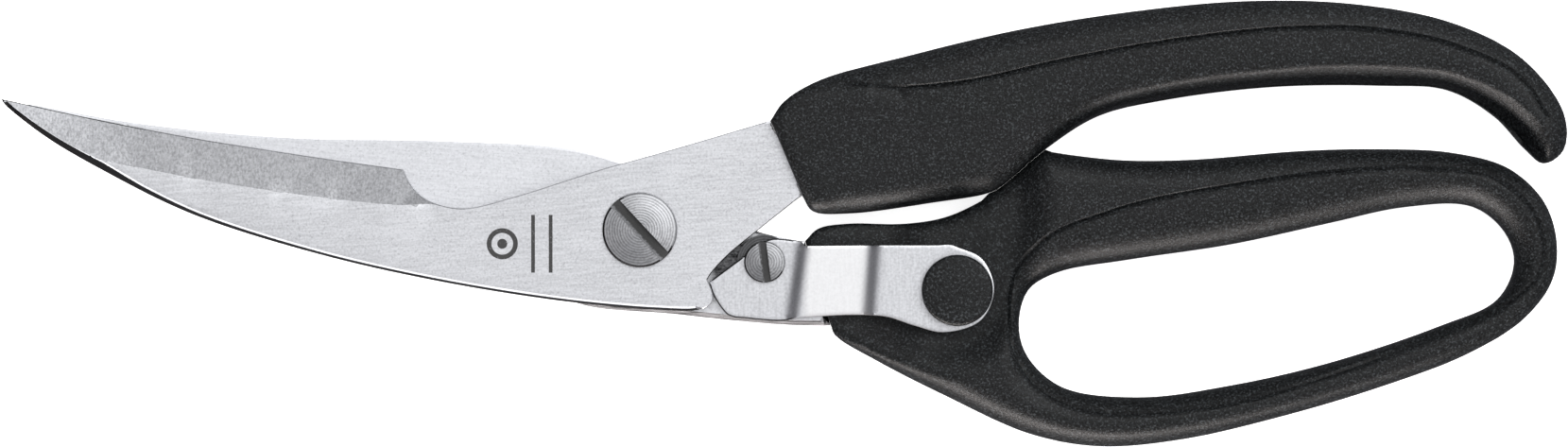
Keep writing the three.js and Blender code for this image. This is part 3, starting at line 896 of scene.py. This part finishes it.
def lower_handle(plastic):
    low, high = heights("lower_handle")
    middle = (low + high) / 2
    loops = handle_outlines("lower_handle")
    loops[0] = close_gap(loops[0], handle_outlines("upper_handle")[0], 0.8)
    ground_levels = (8, high - 1.8)
    ground = [smooth_run(loop, 1.2, closed=True) for loop in rim("lower_handle", 1, *ground_levels)
              if abs(loop_area(loop)) > 30]
    land_levels = sorted({round(float(h), 2) for h in surface("lower_handle", 1)(GROUND_SPOTS)})
    loop_groove = smooth_run(LOOP_GROOVE, 0.4, closed=True)
    features = beside(loop_groove, GROOVE_LINES, True)
    inner = inner_points(loops, ring_gaps(HANDLE_ROUND), 1.4, features)

    def land(points):
        """Height of the low ground under the catch lever, which steps up towards the button."""
        return land_levels[0] + (land_levels[-1] - land_levels[0]) * smoothstep(*GROUND_STEP, points[:, 0])

    def plateau(points):
        """Height of the upper side before its edges are rounded."""
        away = np.min([nearest(points, loop)[0] for loop in ground], axis=0)
        within = inside(points, ground[:1]) | (len(ground) > 1) & inside(points, ground[-1:])
        away = np.where(within, 0, away)
        return land(points) + (high - land(points)) * smoothstep(*GROUND_SLOPE, away)

    def edge(points, level):
        """Width and drop of the rounded edge: small at the blade, full along the grip."""
        grip = smoothstep(*LOWER_GRIP, points[:, 0])
        full = np.maximum(level - middle - HANDLE_WALL, 0.5)
        return BACK_ROUND + grip * (HANDLE_ROUND - BACK_ROUND), np.minimum(BACK_FALL + grip * 9, full)

    def shape(points, level):
        """How far the rounded edges have fallen, at the outline and round the finger loop."""
        outer = nearest(points, loops[0])[0]
        hole = nearest(points, loops[1])[0]
        width, drop = edge(points, level)
        at_loop = smoothstep(*LOOP_START, points[:, 0])
        return rounding(outer, width, drop) + rounding(hole, LOOP_ROUND, drop) * at_loop

    def top(points):
        level = plateau(points)
        return level - shape(points, level) - groove(points, loop_groove, True)

    def bottom(points):
        return low + np.minimum(shape(points, np.full(len(points), high)), middle - HANDLE_WALL)

    piece = slab("loop_handle_moulding", loops, inner, top, bottom, 40)
    cut(piece, tang_room("rear_blade", -1), 40)
    paint(piece, [plastic])
    place(piece, "lower_handle", "lower_half", "handle_plastic")


# ---- Pivot and catch ----
def rounded_rim(radius, low, high, edge, dome=0.0):
    """Profile of a round head, from its underside to its middle, with a rounded rim and a slight dome."""
    flat = radius - edge
    arc = [(flat + edge * math.cos(a), high - dome - edge + edge * math.sin(a))
           for a in np.linspace(0, math.pi / 2, 7)]
    crown = [(flat - (flat - AXIS) * t, high - dome * (1 - t) ** 2) for t in (0.2, 0.4, 0.7, 1)]
    return [(AXIS, low), (radius - edge / 2, low), (radius, low + edge / 2), *arc, *crown]


def screw(node, head_radius, head_height, shank_radius, dome, slot_width, slot_depth, slot_angle, level):
    """A slotted screw: a turned head, a shank, and a driver slot across the head."""
    name = node + "_turned"
    x, y = axis(node)
    bottom, top = heights(node)
    head_low = top - head_height
    head = rounded_rim(head_radius, head_low, top, 0.07 * head_radius, dome)[1:]
    chamfer = 0.3
    profile = [(AXIS, bottom), (shank_radius - chamfer, bottom), (shank_radius, bottom + chamfer),
               (shank_radius, head_low), *head]
    piece = lathe(name, profile, x, y)
    cut(piece, box_solid("slot", (20, slot_width, 2 * slot_depth), (x, y, top), slot_angle))
    bright = turned_steel(name + "_turned", level, x, y)
    dark = shadowed_slot_steel(name + "_slot", x, y, slot_angle)
    # Painted shade: an almost black copy of the steel on the outer ring of the head's lower-left side, for
    # the head's shaded side and its shadow.
    rim_shade = satin_steel(name + "_rim_shade", 0.015, 0.6)

    def choose(centre, normal):
        away = centre.to_2d() - Vector((x, y))
        slot_floor = normal.z > 0.9 and centre.z < top - slot_depth + 0.05
        slot_wall = abs(normal.z) < 0.05 and away.length < 0.9 * head_radius
        if centre.z > head_low and (slot_floor or slot_wall):
            return 1
        # Rim faces on the lower-left side get the painted shade.
        shaded = away.x + away.y < 0.4 * head_radius
        return 2 if shaded and away.length > head_radius - SHADE_RIM_WIDTH and centre.z > head_low else 0

    paint(piece, [bright, dark, rim_shade], choose)
    place(piece, node, "lower_half", "turned_steel")


def pivot_nut():
    """A round nut with a closed, chamfered foot and a blind hole for the screw's shank."""
    low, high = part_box("pivot_nut")
    radius = (high.x - low.x) / 2 / MM
    top = high.z / MM
    hole, floor, rise = 2.9, 0.9, 0.2
    profile = [(AXIS, 0), (radius - 1.1, 0), (radius - 0.3, 0.5), (radius, 1.0), (radius, top - rise),
               (radius - rise, top), (hole + 0.05, top), (hole, top - 0.1), (hole, floor), (AXIS, floor)]
    piece = lathe("pivot_nut_turned", profile, 0, 0)
    paint(piece, [turned_steel("nut_turned", 0.38, 0, 0)])
    place(piece, "pivot_nut", "lower_half", "turned_steel")


def lock_lever():
    loops = [smooth_loop(loop, 0.6, 28) for loop in rim("lock_lever", 1) if abs(loop_area(loop)) > 5]
    cad_top, cad_bottom = surface("lock_lever", 1), surface("lock_lever", -1)
    inner = inner_points(loops, [LEVER_EDGE * 0.4, LEVER_EDGE, 0.6], 0.7)

    def softened(height):
        """Heights averaged over a small neighbourhood, so that the pressed bends are rounded."""
        reach = 0.45
        spots = [(0, 0), (reach, 0), (-reach, 0), (reach / 2, 0), (-reach / 2, 0)]
        return lambda points: np.mean([height(np.asarray(points) + spot) for spot in spots], axis=0)

    soft_top = softened(cad_top)
    spot = [(42, -8)]  # clear of both bends
    thickness = float(cad_top(spot)[0] - cad_bottom(spot)[0])

    def face(points):
        """Height of the upper side before its edges are rounded."""
        return np.where(clearance(points, loops) > 0.5, soft_top(points), cad_top(points))

    def fall(points):
        return rounding(clearance(points, loops), LEVER_EDGE, LEVER_EDGE)

    def top(points):
        return face(points) - fall(points)

    def bottom(points):
        return face(points) - thickness + fall(points)

    piece = slab("lock_lever_plate", loops, inner, top, bottom, 35)
    # Painted shade: an almost black copy of the steel on the rim of the lever's nose, for the shade in the
    # gap beside it.
    nose_rim_shade = satin_steel("lever_nose_rim_shade", 0.03, 0.5)

    def choose(centre, normal):
        return centre.x < LEVER_NOSE and clearance([centre.to_2d()], loops[:1])[0] < LEVER_EDGE

    paint(piece, [lever_steel(), nose_rim_shade], choose)
    place(piece, "lock_lever", "lock", "lever_steel")


def lock_button():
    low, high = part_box("lock_button")
    radius = (high.x - low.x) / 2 / MM
    bottom, top = heights("lock_button")
    face = top - BUTTON_HEIGHT
    chamfer = 0.2
    profile = [(AXIS, bottom), (BUTTON_STEM - chamfer, bottom), (BUTTON_STEM, bottom + chamfer),
               (BUTTON_STEM, face)]
    profile += rounded_rim(radius, face, top, 0.7, 0.25)[1:]
    piece = lathe("lock_button_cap", profile, *axis("lock_button"))
    paint(piece, [moulded_plastic("button_satin", 0.0045, 0.40, 0.02)])
    place(piece, "lock_button", "lock", "button_plastic")


def hidden_steel():
    """The sleeves, spring and washer keep their CAD shapes and get drawn and turned steel."""
    for node, level in (("pivot_bush", 0.36), ("lock_bush", 0.36), ("lock_washer", 0.07)):
        paint(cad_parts[node], [turned_steel(node + "_turned", level, *axis(node))])
    paint(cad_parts["opening_spring"], [satin_steel("spring_wire", 0.3, 0.3, (8, 8, 1), 0, 0.1)])


# ---- Scene ----
def studio():
    """A pale floor, a soft sky that is brightest on the hook handle's side, and two soft lamps."""
    low = cad_box[0]
    bpy.ops.mesh.primitive_plane_add(size=6, location=(0, 0, low.z - 0.0002))
    floor = bpy.context.object
    floor.name = "studio_floor"
    skin = Skin("floor_pale")
    clouds = skin.span(skin.noise(300, 2), 0.3, 0.7)
    tone = skin.mix(clouds, grey(0.88, 0), grey(0.92, 0))
    skin.set(Base_Color=tone, Roughness=0.9, Emission_Color=tone, Emission_Strength=0.9,
             Specular_IOR_Level=0.0)
    paint(floor, [skin.material])
    floor.visible_glossy = False  # the object's rounded edges reflect the dark end of the sky instead

    world = bpy.data.worlds.new("soft_sky")
    bpy.context.scene.world = world
    world.use_nodes = True
    nodes, links = world.node_tree.nodes, world.node_tree.links
    direction = nodes.new("ShaderNodeTexCoord").outputs["Generated"]
    facing = nodes.new("ShaderNodeVectorMath")
    facing.operation = "DOT_PRODUCT"
    links.new(direction, facing.inputs[0])
    facing.inputs[1].default_value = Vector((0.36, 0.42, 0.83)).normalized()
    ramp = nodes.new("ShaderNodeValToRGB")
    links.new(facing.outputs["Value"], ramp.inputs[0])
    ramp.color_ramp.elements[0].color = (0.10, 0.10, 0.11, 1)
    ramp.color_ramp.elements.new(0.62).color = (0.62, 0.62, 0.63, 1)
    links.new(ramp.outputs[0], nodes["Background"].inputs[0])
    nodes["Background"].inputs[1].default_value = 1.8
    soft_lamp("soft_key", (0.42, 0.45, 0.75), 0.7, 0.7, watts=5.5)
    soft_lamp("low_reflector", (-0.12, -0.75, 0.11), 0.9, 0.08, watts=19, color=(1.0, 0.93, 0.9))
    bpy.context.scene.view_settings.view_transform = "Standard"


def soft_lamp(name, location, width, height, watts, color=(1, 1, 1)):
    """A rectangular soft lamp that faces the middle of the shears."""
    lamp = bpy.data.lights.new(name, "AREA")
    lamp.shape = "RECTANGLE"
    lamp.size, lamp.size_y = width, height
    lamp.energy = watts
    lamp.color = color
    holder = bpy.data.objects.new(name, lamp)
    holder.location = location
    holder.rotation_euler = (Vector((0.02, 0, 0)) - holder.location).to_track_quat("-Z", "Y").to_euler()
    bpy.context.scene.collection.objects.link(holder)


def camera():
    """Straight above the shears and far away, with their length just inside the width of the frame."""
    low, high = cad_box
    middle = (low + high) / 2
    distance = 1.5
    shown_share = 0.9968  # of the length, at the height of the top; what lies lower looks a little smaller
    shown_width = (high.x - low.x) * shown_share
    lens = bpy.data.cameras.new("camera")
    lens.sensor_width = 36
    lens.lens = lens.sensor_width * (distance - high.z) / shown_width
    lens.clip_end = 20
    view = bpy.data.objects.new("camera", lens)
    view.location = (middle.x, middle.y, distance)
    bpy.context.scene.collection.objects.link(view)
    bpy.context.scene.camera = view


studio()
camera()
handle_plastic = moulded_plastic("handle_eroded", 0.0044, 0.42)
front_blade()
rear_blade()
upper_handle(handle_plastic)
lower_handle(handle_plastic)
screw("pivot_screw", **PIVOT_SCREW)
screw("lock_screw", **LOCK_SCREW)
pivot_nut()
lock_lever()
lock_button()
hidden_steel()
